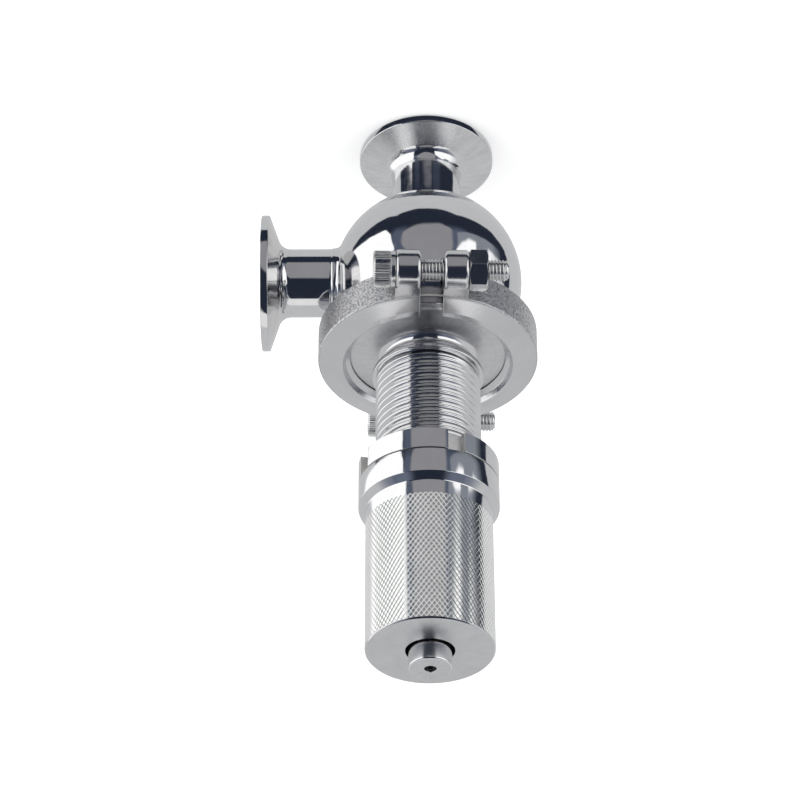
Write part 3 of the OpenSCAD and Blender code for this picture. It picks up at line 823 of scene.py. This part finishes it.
def clamp_screws():
    """Two knurled socket head screws with a real thread on their shanks."""
    core_r, root_r, crest_r = 3.3, 3.32, 3.9
    outline = rounded([(0, -SCREW_L), (2.6, -SCREW_L, 0.2), (core_r, 0.8 - SCREW_L), (core_r, 0.01),
                       (0, 0.01)])
    thread = helix_sleeve(thread_section(crest_r, root_r), SCREW_PITCH, 0.5 - SCREW_L, -0.6,
                          core_r - 0.2, 64, fade=0.7)
    screw, faces = join(socket_head(), straight_knurl(HEAD_R, 1.8, HEAD_H - 0.4, 48, 0.34),
                        spin(outline, 64), thread)
    # the screw's own axis turns to +X, then the clamp's turn about the valve's axis
    turn = Matrix.Rotation(CLAMP_TURN, 3, "Z")
    pair = []
    for side in (-1, 1):
        placed = [turn @ Vector((LUG_OUT + z, side*LUG_Y + y, -x)) for x, y, z in screw]
        pair.append(([(p.x, p.y, p.z + JOINT) for p in placed], faces))
    verts, faces = join(*pair)

    def pick(c, n):
        along = (turn.transposed() @ Vector((c.x, c.y, 0))).x - LUG_OUT
        if along < -0.3:
            return 1
        return 2 if 1.75 < along < HEAD_H - 0.35 else 0

    ob = to_object("clamp_screws_threaded", verts, faces, [mat_bolt, mat_bolt_thread, mat_knurl],
                   sharp=30, pick=pick)
    add_piece(ob, "housing", "clamp_screws")


def coil(name, first, last):
    """A stretch of the spring's wire, from one turn to another, closed at both ends."""
    steps, around = 40, 20
    low, high = SPRING_FOOT + WIRE_R, SPRING_HEAD - WIRE_R
    dead = 2*WIRE_R + 0.3
    free = (high - low - 2*dead)/(TURNS - 2)
    count = round((last - first)*steps)
    verts, faces = [], []
    for i in range(count + 1):
        t = first + (last - first)*i/count
        if t < 1:
            z = low + t*dead
        elif t > TURNS - 1:
            z = high - (TURNS - t)*dead
        else:
            z = low + dead + (t - 1)*free
        for k in range(around):
            b = TAU*k/around
            verts.append(ring_at(COIL_R + WIRE_R*math.cos(b), TAU*t, z + WIRE_R*math.sin(b)))
    for i in range(count):
        for k in range(around):
            p, q = i*around + k, i*around + (k + 1) % around
            faces.append((p, q, q + around, p + around))
    faces += [tuple(range(around))[::-1], tuple(count*around + k for k in range(around))]
    return to_object(name, verts, faces, [mat_spring], sharp=60)


def spring():
    """The spring's wire in two halves, the lower and the upper, in place of the model's spring."""
    foot, head = (0, 0, SPRING_FOOT*MM), (0, 0, SPRING_HEAD*MM)
    middle = (0, 0, (SPRING_FOOT + SPRING_HEAD)/2*MM)
    halves = (("spring_lower", 0, "stem_assembly", "housing", foot, middle),
              ("spring_upper", TURNS/2, "housing", "upper_plate", middle, head))
    for name, first, body_a, body_b, start, end in halves:
        ob = coil(name, first, first + TURNS/2)
        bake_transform(ob)
        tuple(start)
        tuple(end)
        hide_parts("spring")


inlet_end()
outlet_end()
ball_shell()
bonnet()
lock_ring()
cap()
button()
clamp_screws()
spring()

# Finishes of the model's own nodes
finish = {
    "body_flange": mat_rim_painted_shade, "valve_seat": mat_inner, "disc": mat_inner, "stem": mat_polish,
    "lower_spring_plate": mat_inner, "upper_spring_plate": mat_inner,
    "gasket": mat_gasket, "disc_seal": mat_rubber, "stem_seal": mat_rubber, "guide_bush": mat_ptfe,
    "button_screw": mat_black_painted_shade, "clamp_half_outlet": mat_cast, "clamp_half_far": mat_cast,
    "clamp_nuts": mat_bolt,
}
for name, mat in finish.items():
    for material_slot in nodes[name].material_slots:
        material_slot.material = mat


# Stage, from here on in metres
def studio_world():
    """White behind the valve where the camera looks, a light grey room for everything else."""
    world = bpy.data.worlds.new("studio")
    bpy.context.scene.world = world
    w = Nodes(world, "OutputWorld")
    room = w.add("Background")
    room.inputs[0].default_value = (0.60, 0.605, 0.615, 1)
    backdrop = w.add("Background")
    backdrop.inputs[0].default_value = (1, 1, 1, 1)
    w.either(w.add("LightPath").outputs["Is Camera Ray"], room, backdrop)


def floor_material():
    """Pale floor that the camera sees a little lighter than its shade, so that it ends up white."""
    m = Nodes(bpy.data.materials.new("floor_white"))
    pale = m.add("BsdfDiffuse")
    pale.inputs[0].default_value = (0.82, 0.82, 0.82, 1)
    lift = m.glow((1, 1, 1), m.math("MULTIPLY", m.add("LightPath").outputs["Is Camera Ray"], 0.36))
    both = m.add("AddShader")
    m.link(pale.outputs[0], both.inputs[0])
    m.link(lift.outputs[0], both.inputs[1])
    m.link(both.outputs[0], m.out.inputs[0])
    return m.owner


def stage_object(name, verts, faces, mat):
    me = bpy.data.meshes.new(name)
    me.from_pydata(verts, [], faces)
    me.materials.append(mat)
    ob = bpy.data.objects.new(name, me)
    bpy.context.scene.collection.objects.link(ob)
    return ob


def floor():
    half, drop = 4.0, -0.0006
    corners = [(-half, -half, drop), (half, -half, drop), (half, half, drop), (-half, half, drop)]
    ob = stage_object("floor", corners, [(0, 1, 2, 3)], floor_material())
    ob.visible_glossy = False


def card_material(name, color, level):
    """A glow that fades to clear where the card's cover does."""
    m = Nodes(bpy.data.materials.new(name))
    cover = m.add("Attribute", attribute_name="cover")
    return m.either(cover.outputs["Fac"], m.add("BsdfTransparent"), m.glow(color, level))


def card(name, radius, color, rows, level=1.0, soft=(0.0, 0.0)):
    """A curved card round the valve that only its reflections show. Each row is a heading in degrees
    from -Y towards +X, the lowest and highest elevation seen from the ball, and how much it covers.
    soft gives the degrees over which its lower and upper edges fade out."""
    steps, eye = 16, BALL_Z*MM
    verts, faces, cover = [], [], []
    for heading, low, high, *full in rows:
        a = math.radians(heading)
        for at in spaced(low, high, steps):
            e = math.radians(at)
            verts.append((radius*math.cos(e)*math.sin(a), -radius*math.cos(e)*math.cos(a),
                          eye + radius*math.sin(e)))
            below = (at - low)/soft[0] if soft[0] else 1.0
            above = (high - at)/soft[1] if soft[1] else 1.0
            cover.append((full[0] if full else 1.0)*max(0.0, min(1.0, below, above)))
    for i in range(len(rows) - 1):
        for k in range(steps):
            q = i*(steps + 1) + k
            faces.append((q, q + 1, q + steps + 2, q + steps + 1))
    ob = stage_object(name, verts, faces, card_material(name, color, level))
    ob.data.attributes.new("cover", "FLOAT", "POINT").data.foreach_set("value", cover)
    ob.visible_camera = False
    ob.visible_diffuse = False
    ob.visible_shadow = False
    ob.visible_transmission = False


def span(first, last, low, high, step):
    """Rows of one height from a heading to another, at most step degrees apart."""
    return [(heading, low, high) for heading in spaced(first, last, math.ceil((last - first)/step))]


def cards():
    """The studio as the polished metal shows it. The nearer card hides the one behind it."""
    navy, slate, blue = (0.020, 0.026, 0.043), (0.10, 0.12, 0.17), (0.15, 0.175, 0.235)
    grey, strip, white = (0.31, 0.31, 0.325), (0.26, 0.28, 0.32), (1.0, 1.0, 1.0)
    # the dark room in front of the valve
    lower_edge = [(-114, -14), (-105, -35), (-90, -45), (-75, -50), (-60, -54), (-45, -56), (-30, -62),
                  (0, -65), (30, -62), (45, -56), (60, -55), (75, -50), (90, -43), (100, -36),
                  (106, -14)]
    card("card_dark_front", 1.30, navy, [(heading, low, -8) for heading, low in lower_edge])
    card("card_dark_middle", 1.28, navy, span(-70, 70, -40, 90, 6))
    # white overhead, left and right of the dark
    card("card_overhead_left", 1.22, white, span(-180, -70, 62, 90, 12) + [(-42, 62, 90, 0.0)],
         0.9, (4, 0))
    card("card_overhead_right", 1.22, white, [(42, 62, 90, 0.0)] + span(70, 180, 62, 90, 12),
         0.9, (4, 0))
    # blue-grey ceiling above the white panels
    ceiling = [(98, 24, 62, 0.0), (80, 30, 64, 0.8), (62, 34, 65, 1.0), (46, 35, 65, 1.0),
               (28, 36, 65, 0.0)]
    for name, side in (("card_ceiling_left", -1), ("card_ceiling_right", 1)):
        card(name, 1.24, blue, [(side*heading, *rest) for heading, *rest in ceiling], soft=(3, 3))
    # paler edges of the dark, beside the white panels
    card("card_slate_left", 1.20, slate,
         [(-50, -36, 4, 0.0), (-44, -39, 6), (-24, -39, 6), (-18, -39, 6, 0.0)], soft=(8, 8))
    card("card_slate_right", 1.20, slate,
         [(22, -39, 2, 0.0), (27, -39, 4), (38, -39, 4), (44, -36, 4, 0.0)], soft=(8, 8))
    # the grey patch in the middle, and the panels with a grey strip below the left one
    card("card_blob", 0.50, grey,
         [(-29, -28, -12, 0.0), (-26, -34, -2), (-15, -39.5, 14), (4, -39.5, 22), (15, -37, 12),
          (27, -30, -8), (30, -20, -16, 0.0)], soft=(2, 4))
    card("card_white_right", 1.00, white,
         [(38, -12, 36), (43, -30, 36), (50, -37, 36), (63, -36, 36), (80, -34, 33), (90, -33, 30),
          (104, -31, 24), (120, -29, 18), (130, -26, 12, 0.0)], 1.3, (0, 3))
    card("card_strip_left", 0.82, strip,
         [(-94, -30, -12, 0.0), (-80, -33, -14), (-47, -34, -16), (-34, -30, -8)], soft=(1.5, 0))
    card("card_white_left", 0.80, white,
         [(-100, -20, 26, 0.0), (-84, -23, 30, 0.6), (-72, -25, 33), (-60, -26, 34), (-48, -27, 36),
          (-39, -20, 36), (-30, -6, 36), (-25, 6, 36)], 1.25, (2, 3))


def lamp(name, at, size, power):
    """A soft lamp that looks at the valve and isn't seen in its metal."""
    target = Vector((0, 0, 0.1))
    data = bpy.data.lights.new(name, "AREA")
    data.shape = "RECTANGLE"
    data.size, data.size_y = size
    data.energy = power
    ob = bpy.data.objects.new(name, data)
    ob.location = at
    ob.rotation_euler = (target - Vector(at)).to_track_quat("-Z", "Y").to_euler()
    ob.visible_glossy = False
    bpy.context.scene.collection.objects.link(ob)


def camera():
    """The photo's camera, turned over by half a turn and by a small roll."""
    place = Vector((0.00833, -0.91980, 0.75808))
    down_tilt, heading, roll = math.radians(35.045), math.radians(0.115), math.radians(0.108)
    focal_pixels, picture_pixels, sensor = 3109.94, 800, 36.0
    forward = Vector((math.sin(heading)*math.cos(down_tilt), math.cos(heading)*math.cos(down_tilt),
                      -math.sin(down_tilt)))
    side = Vector((math.cos(heading), -math.sin(heading), 0.0))
    over = side.cross(forward)
    right = over*math.sin(roll) - side*math.cos(roll)
    down = over*math.cos(roll) + side*math.sin(roll)
    data = bpy.data.cameras.new("camera")
    data.sensor_width = sensor
    data.lens = focal_pixels*sensor/picture_pixels
    data.clip_start = 0.05
    data.clip_end = 20
    ob = bpy.data.objects.new("camera", data)
    ob.matrix_world = Matrix.Translation(place) @ Matrix((right, -down, -forward)).transposed().to_4x4()
    bpy.context.scene.collection.objects.link(ob)
    bpy.context.scene.camera = ob


studio_world()
floor()
cards()
lamp("key_top", (0.15, 0.25, 1.3), (0.9, 0.9), 7.0)
lamp("fill_left", (0.9, -0.3, 0.7), (0.6, 0.8), 5.0)
lamp("fill_right", (-0.9, -0.2, 0.6), (0.5, 0.7), 3.0)
camera()
bpy.context.scene.view_settings.view_transform = "Standard"
